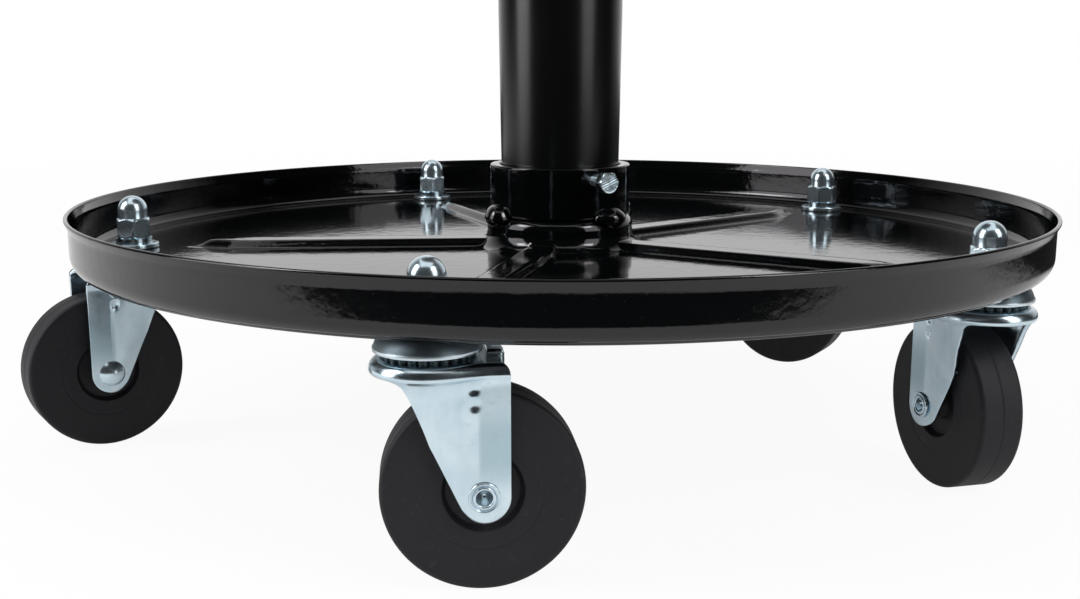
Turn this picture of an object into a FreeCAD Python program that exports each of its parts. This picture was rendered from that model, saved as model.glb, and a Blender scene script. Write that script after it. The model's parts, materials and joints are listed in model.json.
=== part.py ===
import FreeCAD, Part
import math
import os

# Swivel workshop stool on a five-caster tool tray. Lengths are millimetres, angles are degrees.
# The origin is on the floor under the column, +Z is up and +Y points to the back of the stool.

Vec = FreeCAD.Vector
up = Vec(0, 0, 1)
overrun = 5.0
running_clearance = 0.1
seat_clearance = 0.3

# Pressed steel tray
tray_radius = 200.0
tray_height = 20.6
tray_sheet = 1.6
lip_flare = 1.4
lip_height = 3.6
wall_corner = 6.5
boss_radius = 31.0
boss_height = 13.0
boss_shoulder = 4.5
boss_foot = 6.0
rib_tip_gap = 23.0
rib_point_length = 20.0
rib_half_width = 8.2
rib_height = 3.0
rib_slope_run = 3.4
rib_tip_run = 11.0

# Caster places, the way each wheel trails at rest and the side of its rivet head
caster_count = 5
caster_inset = 21.0
first_caster_angle = 257.2
trail_angles = (6.4, 213.7, 80.0, 149.9, 105.8)
rivet_sides = (1, 1, 1, 1, -1)

# Caster wheel, bush and axle
wheel_radius = 31.5
wheel_width = 17.0
tread_edge = 1.6
hub_recess_radius = 12.5
hub_recess_depth = 2.4
hub_recess_draft = 1.2
side_ring_radius = 18.0
side_ring_width = 0.8
side_ring_depth = 0.5
bush_wall = 2.0
axle_radius = 4.0
axle_bore = 2.5
axle_bore_depth = 9.0
rivet_head_radius = 5.2
rivet_head_height = 2.6
rivet_flare = 0.9

# Caster fork
fork_sheet = 2.0
fork_side_gap = 3.8
fork_trail = 16.0
foot_radius = 8.0
crown_overhang = 3.7
crown_drop = 7.1
crown_shoulder = 3.6
crown_skirt = 4.7
crown_front_reach = 10.0
crown_fillet = 5.0
neck_inset = 1.3
flare_height = 14.3
raceway_depth = 1.0
rear_lip_height = 2.3
rear_lip_half_width = 5.0
rear_lip_thickness = 4.8
rear_lip_gap = 0.65
leg_bead_half_width = 2.6
leg_bead_depth = 0.7

# Caster head: balls, upper race, stem, washers and cap nut
caster_head_height = 16.4
ball_count = 12
ball_radius = 1.6
race_inset = 1.25
race_edge = 1.4
race_skirt = 1.15
race_drop = 5.2
race_cone_inset = 2.15
race_cone_bulge = 0.25
pin_radius = 4.8
pin_head_radius = 7.5
pin_head_height = 2.5
stud_radius = 4.0
washer_radius = 10.0
washer_thickness = 2.0
lock_washer_radius = 7.4
lock_washer_thickness = 2.2
lock_washer_gap = 1.4
nut_across_flats = 13.0
nut_hex_height = 8.0
nut_dome_radius = 6.0
nut_collar_height = 3.4
nut_bore_depth = 9.0

# Column, collar and set screw
column_radius = 25.8
column_foot_radius = 24.15
column_wall = 2.2
column_foot_z = 70.0
column_taper_length = 110.0
column_length = 257.0
collar_radius = 29.5
collar_height = 21.0
collar_gap = 0.9
screw_angle = -61.5
screw_height_share = 0.765
screw_radius = 2.5
screw_reach = 12.0
screw_head_height = 4.2
screw_across_flats = 8.0
weld_angles = (210.0, 314.0, 33.0, 122.0)
weld_radius = 5.4
weld_lift = 0.6

# Gas lift
lift_stroke = 120.0
foot_plate_thickness = 3.5
bearing_washer_thickness = 1.5
bearing_cage_thickness = 3.0
bearing_radius = 14.0
bearing_cage_inset = 1.2
rod_radius = 5.0
spigot_radius = 4.0
spigot_end = 1.0
clip_thickness = 1.2
clip_radius = 7.0
clip_groove_depth = 0.9
clip_gap = 5.0
clip_washer_thickness = 1.4
clip_washer_radius = 9.0
bump_stop_radius = 11.5
bump_stop_height = 11.0
cylinder_radius = 14.0
cylinder_wall = 1.8
cylinder_end = 4.0
cone_length = 40.0
cone_tip_radius = 13.2
gland_height = 12.0
gland_clear = 5.0
piston_height = 10.0
guide_length = 58.0
guide_flange_lap = 1.0
guide_flange_height = 3.0
button_radius = 3.0
button_dome = 1.0
button_below = 14.0

# Seat mount, release lever, board and cushion
socket_above_column = 9.0
socket_wall = 5.0
socket_above_plate = 4.0
mount_sheet = 3.0
mount_half = 52.0
mount_depth = 28.0
mount_flange_half = 86.0
mount_corner = 9.0
pivot_x = 26.0
pivot_radius = 3.0
pivot_below_board = 14.0
pivot_hub_radius = 7.0
pivot_ear_thickness = 3.0
pivot_ear_half_width = 9.0
pivot_ear_above = 6.0
pivot_ear_gap = 1.0
lever_radius = 4.0
lever_inner_x = -6.0
lever_bend_x = 56.0
lever_bend_run = 22.0
lever_drop = 26.0
lever_bend_radius = 10.0
lever_outer_x = 176.0
lever_window_half = 9.0
grip_radius = 9.0
grip_length = 66.0
grip_socket = 55.0
board_radius = 160.0
board_thickness = 12.0
screw_offset = 66.0
seat_screw_radius = 3.0
seat_screw_head_radius = 6.0
seat_screw_head_height = 3.6
seat_screw_depth = 9.0
cushion_radius = 176.0
cushion_height = 60.0
cushion_crown = 17.0
cushion_seam_inset = 7.0
cushion_skirt = 9.0
cushion_skirt_wall = 4.0
cushion_waist_share = 0.45

# Heights and radii that follow from the sizes above
axle_z = wheel_radius
tray_under = 2 * wheel_radius + caster_head_height
floor_top = tray_under + tray_sheet
rim_top = tray_under + tray_height
boss_top = floor_top + boss_height
wall_radius = tray_radius - lip_flare
caster_circle = tray_radius - caster_inset
rib_tip_radius = caster_circle - rib_tip_gap
crown_top = tray_under - crown_drop
crown_under = crown_top - fork_sheet
skirt_z = crown_top - crown_skirt
widest_z = crown_top - crown_shoulder
fork_half_width = wheel_width / 2 + fork_side_gap + fork_sheet
fork_inner = fork_half_width - fork_sheet
crown_radius = fork_half_width + crown_overhang
fork_rear = fork_trail + foot_radius
race_radius = crown_radius - race_inset
skirt_radius = race_radius - race_skirt
ball_pitch = skirt_radius - ball_radius - seat_clearance
raceway_outer = ball_pitch + ball_radius + running_clearance
raceway_inner = ball_pitch - ball_radius - running_clearance
raceway_z = crown_top - raceway_depth
ball_z = raceway_z + running_clearance + ball_radius
race_under = ball_z + ball_radius + running_clearance
race_low = tray_under - race_drop
collar_top = boss_top + collar_height
column_top = column_foot_z + column_length
column_taper = (column_radius - column_foot_radius) / column_taper_length
bearing_z = column_foot_z + foot_plate_thickness
bearing_top = bearing_z + 2 * bearing_washer_thickness + bearing_cage_thickness
cylinder_bottom = bearing_top + bump_stop_height + seat_clearance
socket_bottom = column_top + socket_above_column
cylinder_top = socket_bottom + cone_length
plate_under = cylinder_top - socket_above_plate
plate_top = plate_under + mount_sheet
board_under = plate_under + mount_depth
flange_under = board_under - mount_sheet
board_top = board_under + board_thickness
pivot_z = board_under - pivot_below_board
button_top = pivot_z - lever_radius - seat_clearance
piston_z = cylinder_bottom + gland_height + lift_stroke + gland_clear
clip_top = column_foot_z - clip_washer_thickness


class Outline:
    # A closed outline in the XZ plane, drawn with straight lines and arcs.

    def __init__(self, x, z):
        self.first = Vec(x, 0, z)
        self.last = self.first
        self.edges = []

    def line(self, x, z):
        end = Vec(x, 0, z)
        if not end.isEqual(self.last, Part.Vertex(end).Tolerance):
            self.edges.append(Part.LineSegment(self.last, end).toShape())
            self.last = end
        return self

    def arc(self, mid_x, mid_z, x, z):
        end = Vec(x, 0, z)
        self.edges.append(Part.Arc(self.last, Vec(mid_x, 0, mid_z), end).toShape())
        self.last = end
        return self

    def turn(self, x, z, radius, start, end):
        # A line to the start of an arc round (x, z), then the arc itself.
        begin, middle, finish = [math.radians(a) for a in (start, (start + end) / 2, end)]
        self.line(x + radius * math.cos(begin), z + radius * math.sin(begin))
        return self.arc(x + radius * math.cos(middle), z + radius * math.sin(middle),
                        x + radius * math.cos(finish), z + radius * math.sin(finish))

    def cap(self, top):
        # A round cap from the last point to the Z axis, centred on that axis.
        rise = top - self.last.z
        radius = (self.last.x ** 2 + rise ** 2) / (2 * rise)
        return self.turn(0, top - radius, radius, math.degrees(math.acos(self.last.x / radius)), 90)

    def face(self):
        self.line(self.first.x, self.first.z)
        return Part.Face(Part.Wire(self.edges))

    def turned(self):
        return self.face().revolve(Vec(), up, 360)

    def extruded(self, half_depth):
        return self.face().translated(Vec(0, -half_depth, 0)).extrude(Vec(0, 2 * half_depth, 0))


def ring(inner, outer, low, high):
    return Outline(inner, low).line(outer, low).line(outer, high).line(inner, high).turned()


def rod(radius, low, high):
    return Part.makeCylinder(radius, high - low, Vec(0, 0, low))


def block(x_low, x_high, half_y, low, high):
    return Part.makeBox(x_high - x_low, 2 * half_y, high - low, Vec(x_low, -half_y, low))


def hexagon(across_flats, low, high):
    corner = across_flats / math.sqrt(3)
    points = [Vec(corner * math.cos(math.radians(a)), corner * math.sin(math.radians(a)), low)
              for a in range(0, 361, 60)]
    return Part.Face(Part.makePolygon(points)).extrude(Vec(0, 0, high - low))


def at_angle(shape, angle, distance=0):
    # Slide a shape out along +X, then turn it about the column.
    placed = shape.translated(Vec(distance, 0, 0))
    placed.rotate(Vec(), up, angle)
    return placed


def caster_angle(index):
    return first_caster_angle - index * 360 / caster_count


def at_casters(shape):
    return Part.makeCompound([at_angle(shape, caster_angle(i), caster_circle) for i in range(caster_count)])


def column_outer(z):
    return column_foot_radius + min(z - column_foot_z, column_taper_length) * column_taper


def rib(drop):
    # A raised rib with sloping sides and a pointed end, lowered by drop.
    inner = boss_radius + boss_foot / 2 + drop
    low = floor_top - drop
    wires = []
    for inset, tip_inset, z in ((0, 0, low), (rib_slope_run, rib_tip_run, low + rib_height)):
        half = rib_half_width - inset
        shoulder = rib_tip_radius - rib_point_length - inset
        tip = rib_tip_radius - tip_inset
        corners = ((inner, -half), (shoulder, -half), (tip, 0), (shoulder, half), (inner, half), (inner, -half))
        wires.append(Part.makePolygon([Vec(x, y, z) for x, y in corners]))
    return Part.makeLoft(wires, True, True)


def make_tray():
    foot_x = boss_radius + boss_foot
    foot_z = floor_top + boss_foot
    corner_x = wall_radius - wall_corner
    corner_z = tray_under + wall_corner
    shoulder_x = boss_radius - boss_shoulder
    shoulder_z = boss_top - boss_shoulder
    edge = tray_sheet / 2
    lip_foot = rim_top - lip_height
    bore = column_outer(boss_top)
    dish = Outline(bore, boss_top - tray_sheet)
    dish.turn(shoulder_x, shoulder_z, boss_shoulder - tray_sheet, 90, 0)
    dish.turn(foot_x, foot_z, boss_foot + tray_sheet, 180, 270)
    dish.turn(corner_x, corner_z, wall_corner, 270, 360)
    dish.line(wall_radius, lip_foot)
    dish.turn(tray_radius - edge, rim_top - edge, edge, 0, 180)
    dish.line(wall_radius - tray_sheet, lip_foot)
    dish.turn(corner_x, corner_z, wall_corner - tray_sheet, 0, -90)
    dish.turn(foot_x, foot_z, boss_foot, 270, 180)
    dish.turn(shoulder_x, shoulder_z, boss_shoulder, 0, 90)
    dish.line(bore, boss_top)
    tray = dish.turned()
    for index in range(caster_count):
        tray = tray.fuse(at_angle(rib(0), caster_angle(index)))
    for index in range(caster_count):
        tray = tray.cut(at_angle(rib(tray_sheet), caster_angle(index)))
    return tray.cut(at_casters(rod(stud_radius, tray_under - overrun, floor_top + overrun))).removeSplitter()


def make_column():
    taper_z = column_foot_z + column_taper_length
    tube = Outline(column_foot_radius - column_wall, column_foot_z)
    tube.line(column_foot_radius, column_foot_z).line(column_radius, taper_z).line(column_radius, column_top)
    tube.line(column_radius - column_wall, column_top).line(column_radius - column_wall, taper_z)
    return tube.turned()


def radial(shape):
    # Lay an upright shape along the set screw's direction, at its height on the collar.
    laid = shape.copy()
    laid.rotate(Vec(), Vec(0, 1, 0), 90)
    return at_angle(laid.translated(Vec(0, 0, boss_top + collar_height * screw_height_share)), screw_angle)


def make_set_screw():
    tip = column_outer(boss_top + collar_height)
    head = collar_radius + screw_reach - screw_head_height
    screw = rod(screw_radius, tip, head)
    return radial(screw.fuse(hexagon(screw_across_flats, head, head + screw_head_height)))


def make_collar():
    collar = ring(column_outer(collar_top) + collar_gap, collar_radius, boss_top, collar_top)
    return collar.cut(radial(rod(screw_radius, 0, collar_radius + overrun)))


def make_welds(tray, collar, column):
    drop = Part.makeSphere(weld_radius, Vec(collar_radius, 0, boss_top + weld_lift), Vec(1, 0, 0))
    drops = [at_angle(drop, angle).cut(tray).cut(collar).cut(column) for angle in weld_angles]
    kept = [max(d.Solids, key=lambda s: s.Volume) for d in drops]
    return Part.makeCompound(kept)


def make_upper_race():
    # A cup with a short upright edge, whose wall leans in and bulges up to the tray.
    edge_top = race_low + race_edge
    cone_radius = race_radius - race_cone_inset
    middle_x = (race_radius + cone_radius) / 2 + race_cone_bulge
    middle_z = (edge_top + tray_under) / 2 + race_cone_bulge
    race = Outline(pin_radius, race_under).line(skirt_radius, race_under).line(skirt_radius, race_low)
    race.line(race_radius, race_low).line(race_radius, edge_top)
    race.arc(middle_x, middle_z, cone_radius, tray_under).line(pin_radius, tray_under)
    return race.turned()


def make_stem():
    head_top = crown_under - running_clearance
    head = Outline(0, head_top - pin_head_height).line(pin_radius, head_top - pin_head_height)
    head.line(pin_head_radius, head_top).line(0, head_top)
    stud_top = floor_top + washer_thickness + lock_washer_thickness + nut_bore_depth
    return head.turned().fuse(rod(pin_radius, head_top, tray_under)).fuse(rod(stud_radius, tray_under, stud_top))


def make_lock_washer():
    low = floor_top + washer_thickness
    washer = ring(stud_radius, lock_washer_radius, low, low + lock_washer_thickness)
    return washer.cut(block(0, lock_washer_radius + overrun, lock_washer_gap / 2, low - overrun, low + overrun))


def make_cap_nut():
    low = floor_top + washer_thickness + lock_washer_thickness
    hex_top = low + nut_hex_height
    dome_z = hex_top + nut_collar_height
    dome = Outline(0, low).line(nut_dome_radius, low).turn(0, dome_z, nut_dome_radius, 0, 90).turned()
    nut = hexagon(nut_across_flats, low, hex_top).fuse(dome)
    return nut.cut(rod(stud_radius, low - overrun, low + nut_bore_depth))


def stadium(half_width, rear, z):
    # The fork's level section: a round front and straight sides running to the rear.
    front = Part.Arc(Vec(0, -half_width, z), Vec(-half_width, 0, z), Vec(0, half_width, z)).toShape()
    corners = (Vec(0, half_width, z), Vec(rear, half_width, z), Vec(rear, -half_width, z), Vec(0, -half_width, z))
    sides = [Part.LineSegment(a, b).toShape() for a, b in zip(corners, corners[1:])]
    return Part.Wire([front] + sides)


def make_fork():
    flare_z = crown_top - flare_height
    low = axle_z - foot_radius - overrun
    neck = crown_radius - neck_inset
    levels = ((fork_half_width, low), (fork_half_width, flare_z), (neck, skirt_z), (crown_radius, widest_z))
    skin = [stadium(half, fork_rear, z) for half, z in levels + ((crown_radius, crown_top),)]
    open_rear = fork_rear + overrun
    hollow = [stadium(half - fork_sheet, open_rear, z) for half, z in levels + ((neck, crown_under),)]
    pressing = Part.makeLoft(skin, True, True)
    rim = [e for e in pressing.Edges if e.BoundBox.ZMin > widest_z]
    pressing = pressing.makeFillet(crown_shoulder - running_clearance, rim)
    bead_radius = (leg_bead_half_width ** 2 + leg_bead_depth ** 2) / (2 * leg_bead_depth)
    for side in (-1, 1):
        bead_y = side * (fork_half_width + leg_bead_depth - bead_radius)
        bead = Part.makeCylinder(bead_radius, flare_z - axle_z - foot_radius)
        pressing = pressing.fuse(bead.translated(Vec(fork_trail, bead_y, axle_z + foot_radius)))
    pressing = pressing.cut(Part.makeLoft(hollow, True, True))
    # The side outline: straight rear edge, round foot and a leading edge that slants up into the crown's skirt.
    reach = math.hypot(fork_trail + crown_front_reach, skirt_z - axle_z)
    slant = math.asin(foot_radius / reach)
    slant += math.atan2(skirt_z - axle_z, fork_trail + crown_front_reach)
    front = -crown_radius - overrun
    fillet_x = -crown_front_reach - crown_fillet * math.tan(slant / 2)
    side = Outline(fork_rear, crown_top).turn(fork_trail, axle_z, foot_radius, 0, -90 - math.degrees(slant))
    side.turn(fillet_x, skirt_z - crown_fillet, crown_fillet, 90 - math.degrees(slant), 90)
    side.line(front, skirt_z).line(front, crown_top)
    fork = pressing.common(side.extruded(crown_radius + overrun))
    lip_x = race_radius + rear_lip_gap
    lip = block(lip_x, lip_x + rear_lip_thickness, rear_lip_half_width, crown_under, crown_top + rear_lip_height)
    fork = fork.fuse(lip).cut(ring(raceway_inner, raceway_outer, raceway_z, crown_top + overrun))
    fork = fork.cut(rod(pin_radius + running_clearance, crown_under - overrun, crown_top + overrun))
    return fork.cut(along_axle(rod(axle_radius, -crown_radius - overrun, crown_radius + overrun))).removeSplitter()


def along_axle(shape):
    # Lay an upright shape along the axle, its middle on the wheel's middle.
    laid = shape.copy()
    laid.rotate(Vec(), Vec(1, 0, 0), -90)
    return laid.translated(Vec(fork_trail, 0, axle_z))


def make_axle(side):
    outer = fork_half_width
    rivet = Outline(0, -outer).line(axle_radius + rivet_flare, -outer)
    rivet.line(axle_radius, -outer - rivet_flare).line(0, -outer - rivet_flare)
    dome = Outline(0, outer).line(rivet_head_radius, outer).cap(outer + rivet_head_height)
    axle = rod(axle_radius, -outer, outer).fuse(rivet.turned()).fuse(dome.turned())
    axle = axle.cut(rod(axle_bore, -outer - overrun, -outer + axle_bore_depth))
    if side < 0:
        axle.rotate(Vec(), Vec(1, 0, 0), 180)
    return along_axle(axle)


def make_bush():
    half = fork_inner - seat_clearance
    return along_axle(ring(axle_radius + running_clearance, axle_radius + bush_wall, -half, half))


def make_wheel():
    bore = axle_radius + bush_wall
    half = wheel_width / 2
    recess = half - hub_recess_depth
    ring_outer = side_ring_radius + side_ring_width
    outline = Outline(bore, -recess)
    outline.line(hub_recess_radius - hub_recess_draft, -recess).line(hub_recess_radius, -half)
    outline.line(side_ring_radius, -half).line(side_ring_radius + side_ring_width / 2, side_ring_depth - half)
    outline.line(ring_outer, -half).turn(wheel_radius - tread_edge, tread_edge - half, tread_edge, -90, 0)
    outline.turn(wheel_radius - tread_edge, half - tread_edge, tread_edge, 0, 90).line(ring_outer, half)
    outline.line(side_ring_radius + side_ring_width / 2, half - side_ring_depth).line(side_ring_radius, half)
    outline.line(hub_recess_radius, half).line(hub_recess_radius - hub_recess_draft, recess).line(bore, recess)
    return along_axle(outline.turned())


def make_balls():
    ball = Part.makeSphere(ball_radius, Vec(ball_pitch, 0, ball_z))
    return Part.makeCompound([at_angle(ball, i * 360 / ball_count) for i in range(ball_count)])


def caster_nodes():
    nodes = {}
    for index in range(caster_count):
        pieces = {"fork": make_fork(), "balls": make_balls(), "axle": make_axle(rivet_sides[index]),
                  "bush": make_bush(), "wheel": make_wheel()}
        angle = math.radians(caster_angle(index))
        place = Vec(caster_circle * math.cos(angle), caster_circle * math.sin(angle), 0)
        for name, shape in pieces.items():
            shape.rotate(Vec(), up, trail_angles[index])
            nodes[f"caster_{index + 1}_{name}"] = shape.translated(place)
    return nodes


def make_thrust_bearing():
    bore = spigot_radius + running_clearance
    cage_z = bearing_z + bearing_washer_thickness
    top_z = cage_z + bearing_cage_thickness
    cage = ring(bore + bearing_cage_inset, bearing_radius - bearing_cage_inset, cage_z, top_z)
    washers = [ring(bore, bearing_radius, bearing_z, cage_z), ring(bore, bearing_radius, top_z, bearing_top)]
    return Part.makeCompound(washers + [cage])


def make_piston_rod():
    stem = rod(spigot_radius, clip_top - clip_thickness - spigot_end, bearing_top)
    groove = ring(spigot_radius - clip_groove_depth, spigot_radius + overrun, clip_top - clip_thickness, clip_top)
    return stem.cut(groove).fuse(rod(rod_radius, bearing_top, piston_z + piston_height))


def make_clip():
    low = clip_top - clip_thickness
    clip = ring(spigot_radius - clip_groove_depth, clip_radius, low, clip_top)
    return clip.cut(block(0, clip_radius + overrun, clip_gap / 2, low - overrun, clip_top + overrun))


def make_cylinder():
    bore = cylinder_radius - cylinder_wall
    tube = Outline(bore, cylinder_bottom).line(cylinder_radius, cylinder_bottom)
    tube.line(cylinder_radius, socket_bottom).line(cone_tip_radius, cylinder_top)
    tube.line(button_radius + running_clearance, cylinder_top)
    tube.line(button_radius + running_clearance, cylinder_top - cylinder_end)
    tube.line(cone_tip_radius - cylinder_wall, cylinder_top - cylinder_end).line(bore, socket_bottom)
    return tube.turned()


def make_button():
    button = Outline(0, cylinder_top - button_below).line(button_radius, cylinder_top - button_below)
    return button.line(button_radius, button_top - button_dome).cap(button_top).turned()


def make_guide():
    bore = cylinder_radius + running_clearance
    outer = column_radius - column_wall
    flange = outer + guide_flange_lap
    guide = Outline(bore, column_top - guide_length).line(outer, column_top - guide_length)
    guide.line(outer, column_top).line(flange, column_top).line(flange, column_top + guide_flange_height)
    return guide.line(bore, column_top + guide_flange_height).turned()


def make_socket():
    outer = cylinder_radius + socket_wall
    socket = Outline(cylinder_radius, socket_bottom).line(outer, socket_bottom).line(outer, cylinder_top)
    return socket.line(cone_tip_radius, cylinder_top).turned()


def rounded_square(half, corner, low, high):
    slab = Part.makeBox(2 * half, 2 * half, high - low, Vec(-half, -half, low))
    return slab.makeFillet(corner, [e for e in slab.Edges if e.BoundBox.ZLength > (high - low) / 2])


def at_screws(shape):
    return [shape.translated(Vec(x, y, 0)) for x in (-screw_offset, screw_offset)
            for y in (-screw_offset, screw_offset)]


def make_mount():
    pan = rounded_square(mount_half, mount_corner, plate_under, board_under)
    pan = pan.fuse(rounded_square(mount_flange_half, mount_corner, flange_under, board_under))
    inner = mount_half - mount_sheet
    pan = pan.cut(rounded_square(inner, mount_corner - mount_sheet, plate_top, board_under + overrun))
    pan = pan.cut(rod(cylinder_radius + socket_wall, plate_under - overrun, plate_top + overrun))
    pan = pan.cut(block(inner - overrun, mount_half + overrun, lever_window_half, plate_top, flange_under))
    pan = pan.cut(Part.makeCompound(at_screws(rod(seat_screw_radius, flange_under, board_under))))
    ear_x = (pivot_x - pivot_ear_half_width, pivot_x + pivot_ear_half_width)
    gap = lever_radius + pivot_ear_gap
    ears = block(*ear_x, gap + pivot_ear_thickness, plate_top, pivot_z + pivot_ear_above)
    ears = ears.cut(block(*ear_x, gap, plate_top - overrun, pivot_z + pivot_ear_above + overrun))
    ears = ears.cut(rod(cylinder_radius + socket_wall, plate_top, cylinder_top))
    return pan.fuse(ears).cut(across_pivot(rod(pivot_radius, -mount_half, mount_half)).common(ears))


def across_pivot(shape):
    laid = shape.copy()
    laid.rotate(Vec(), Vec(1, 0, 0), 90)
    return laid.translated(Vec(pivot_x, 0, pivot_z))


def make_pivot_pin():
    half = lever_radius + pivot_ear_gap + pivot_ear_thickness
    return across_pivot(rod(pivot_radius, -half, half))


def lever_path():
    low = pivot_z - lever_drop
    corners = (Vec(lever_inner_x, 0, pivot_z), Vec(lever_bend_x, 0, pivot_z),
               Vec(lever_bend_x + lever_bend_run, 0, low), Vec(lever_outer_x, 0, low))
    # Each corner is rounded by an arc of the bend radius that touches both runs.
    turn = math.atan2(lever_drop, lever_bend_run)
    setback = lever_bend_radius * math.tan(turn / 2)
    edges = []
    last = corners[0]
    for before, corner, after in zip(corners, corners[1:], corners[2:]):
        back = (before - corner).normalize()
        ahead = (after - corner).normalize()
        bisector = (back + ahead).normalize()
        middle = corner + bisector * (lever_bend_radius / math.cos(turn / 2) - lever_bend_radius)
        edges.append(Part.LineSegment(last, corner + back * setback).toShape())
        edges.append(Part.Arc(corner + back * setback, middle, corner + ahead * setback).toShape())
        last = corner + ahead * setback
    edges.append(Part.LineSegment(last, corners[-1]).toShape())
    return Part.Wire(edges)


def make_lever():
    section = Part.Wire([Part.makeCircle(lever_radius, Vec(lever_inner_x, 0, pivot_z), Vec(1, 0, 0))])
    bar = lever_path().makePipeShell([section], True, False)
    bar = bar.fuse(across_pivot(rod(pivot_hub_radius, -lever_radius, lever_radius)))
    return bar.cut(across_pivot(rod(pivot_radius + running_clearance, -mount_half, mount_half)))


def make_grip():
    outer = lever_outer_x + grip_length - grip_socket
    start = outer - grip_length
    grip = Outline(lever_radius, 0).line(grip_radius - lever_radius / 2, 0)
    grip.line(grip_radius, lever_radius).turn(0, grip_length - grip_radius, grip_radius, 0, 90)
    grip.line(0, grip_socket).line(lever_radius, grip_socket)
    sleeve = grip.turned()
    sleeve.rotate(Vec(), Vec(0, 1, 0), 90)
    return sleeve.translated(Vec(start, 0, pivot_z - lever_drop))


def make_seat_screws():
    screw = rod(seat_screw_radius, flange_under, board_under + seat_screw_depth)
    head = rod(seat_screw_head_radius, flange_under - seat_screw_head_height, flange_under)
    return Part.makeCompound(at_screws(screw.fuse(head)))


def make_board():
    board = rod(board_radius, board_under, board_top)
    return board.cut(Part.makeCompound(at_screws(rod(seat_screw_radius, board_under, board_under + seat_screw_depth))))


def make_cushion():
    # A crowned round pad with drawn-in sides whose skirt hides the edge of the board.
    inner = board_radius + seat_clearance
    skirt_z = board_top - cushion_skirt
    seam_radius = cushion_radius - cushion_seam_inset
    seam_z = board_top + cushion_height - cushion_crown
    waist_z = skirt_z + (seam_z - skirt_z) * cushion_waist_share
    low = board_top + seat_clearance
    pad = Outline(0, low).line(inner, low).line(inner, skirt_z).line(inner + cushion_skirt_wall, skirt_z)
    pad.arc(cushion_radius, waist_z, seam_radius, seam_z)
    return pad.cap(board_top + cushion_height).turned()


tray_shape = make_tray()
column_shape = make_column()
collar_shape = make_collar()
bearing_hole = spigot_radius + running_clearance
washer_low = floor_top + washer_thickness

parts = {
    "tray": tray_shape,
    "column_tube": column_shape,
    "hub_collar": collar_shape,
    "weld_beads": make_welds(tray_shape, collar_shape, column_shape),
    "set_screw": make_set_screw(),
    "caster_upper_races": at_casters(make_upper_race()),
    "caster_stems": at_casters(make_stem()),
    "flat_washers": at_casters(ring(stud_radius, washer_radius, floor_top, washer_low)),
    "lock_washers": at_casters(make_lock_washer()),
    "cap_nuts": at_casters(make_cap_nut()),
    "column_foot_plate": ring(bearing_hole, column_foot_radius - column_wall, column_foot_z, bearing_z),
    "thrust_bearing": make_thrust_bearing(),
    "guide_bush": make_guide(),
    "piston_rod": make_piston_rod(),
    "piston": ring(rod_radius, cylinder_radius - cylinder_wall - running_clearance, piston_z,
                   piston_z + piston_height),
    "bump_stop": ring(rod_radius, bump_stop_radius, bearing_top, bearing_top + bump_stop_height),
    "rod_clip": make_clip(),
    "clip_washer": ring(bearing_hole, clip_washer_radius, clip_top, column_foot_z),
    "gas_cylinder": make_cylinder(),
    "rod_gland": ring(rod_radius + running_clearance, cylinder_radius - cylinder_wall, cylinder_bottom,
                      cylinder_bottom + gland_height),
    "release_button": make_button(),
    "taper_socket": make_socket(),
    "seat_mount": make_mount(),
    "lever_pivot_pin": make_pivot_pin(),
    "release_lever": make_lever(),
    "lever_grip": make_grip(),
    "seat_screws": make_seat_screws(),
    "seat_board": make_board(),
    "seat_cushion": make_cushion(),
}
parts.update(caster_nodes())

os.makedirs("parts", exist_ok=True)
for node, shape in parts.items():
    shape.exportStep(f"parts/{node}.step")
    print(node, len(shape.Solids), "solids", "valid" if shape.isValid() else "INVALID", round(shape.Volume))
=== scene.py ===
import json
import math
import bmesh
import bpy
import numpy as np
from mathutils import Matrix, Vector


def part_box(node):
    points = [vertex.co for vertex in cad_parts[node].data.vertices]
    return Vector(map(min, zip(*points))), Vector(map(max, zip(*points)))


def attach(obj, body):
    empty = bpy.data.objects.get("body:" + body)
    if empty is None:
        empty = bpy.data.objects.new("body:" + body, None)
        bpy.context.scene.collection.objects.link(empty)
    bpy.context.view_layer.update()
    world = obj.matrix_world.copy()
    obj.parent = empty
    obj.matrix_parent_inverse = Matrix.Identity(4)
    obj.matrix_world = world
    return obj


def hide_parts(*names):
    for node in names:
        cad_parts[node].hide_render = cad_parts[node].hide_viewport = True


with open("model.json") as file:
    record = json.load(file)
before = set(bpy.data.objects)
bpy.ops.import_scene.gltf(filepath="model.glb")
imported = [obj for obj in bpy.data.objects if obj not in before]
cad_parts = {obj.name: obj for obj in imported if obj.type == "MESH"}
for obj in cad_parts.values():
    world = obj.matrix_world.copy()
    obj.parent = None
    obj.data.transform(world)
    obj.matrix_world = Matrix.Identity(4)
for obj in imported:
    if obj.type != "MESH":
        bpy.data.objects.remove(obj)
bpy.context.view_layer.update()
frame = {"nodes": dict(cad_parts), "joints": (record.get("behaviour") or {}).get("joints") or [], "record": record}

mm = 0.001
jointAt = {j["name"]: np.array(j["pos_m"]) for j in frame["joints"] if "pos_m" in j}
casterNumbers = range(1, 6)
worldPlace = (np.zeros(3), np.eye(3))
print("frame loaded", len(frame["nodes"]), "nodes")

# Mesh helpers

meshForm = dict(merge=2e-6, sliver=1e-7, sharp=35, easeGap=0.3, longRun=3.0, cornerRings=5)

def inMm(box):
    # both corners of a box of the frame, in millimetres
    return [np.array(corner) / mm for corner in box]

def arcPoints(cx, cz, radius, start, end, count):
    # centre plus radius times the cosine and sine of an even sweep of angles
    a = np.radians(np.linspace(start, end, count))
    return np.stack([cx + radius * np.cos(a), cz + radius * np.sin(a)], 1)

def linePoints(start, end, count):
    # an even blend from the start point to the end point
    return np.linspace(start, end, count)

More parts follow.
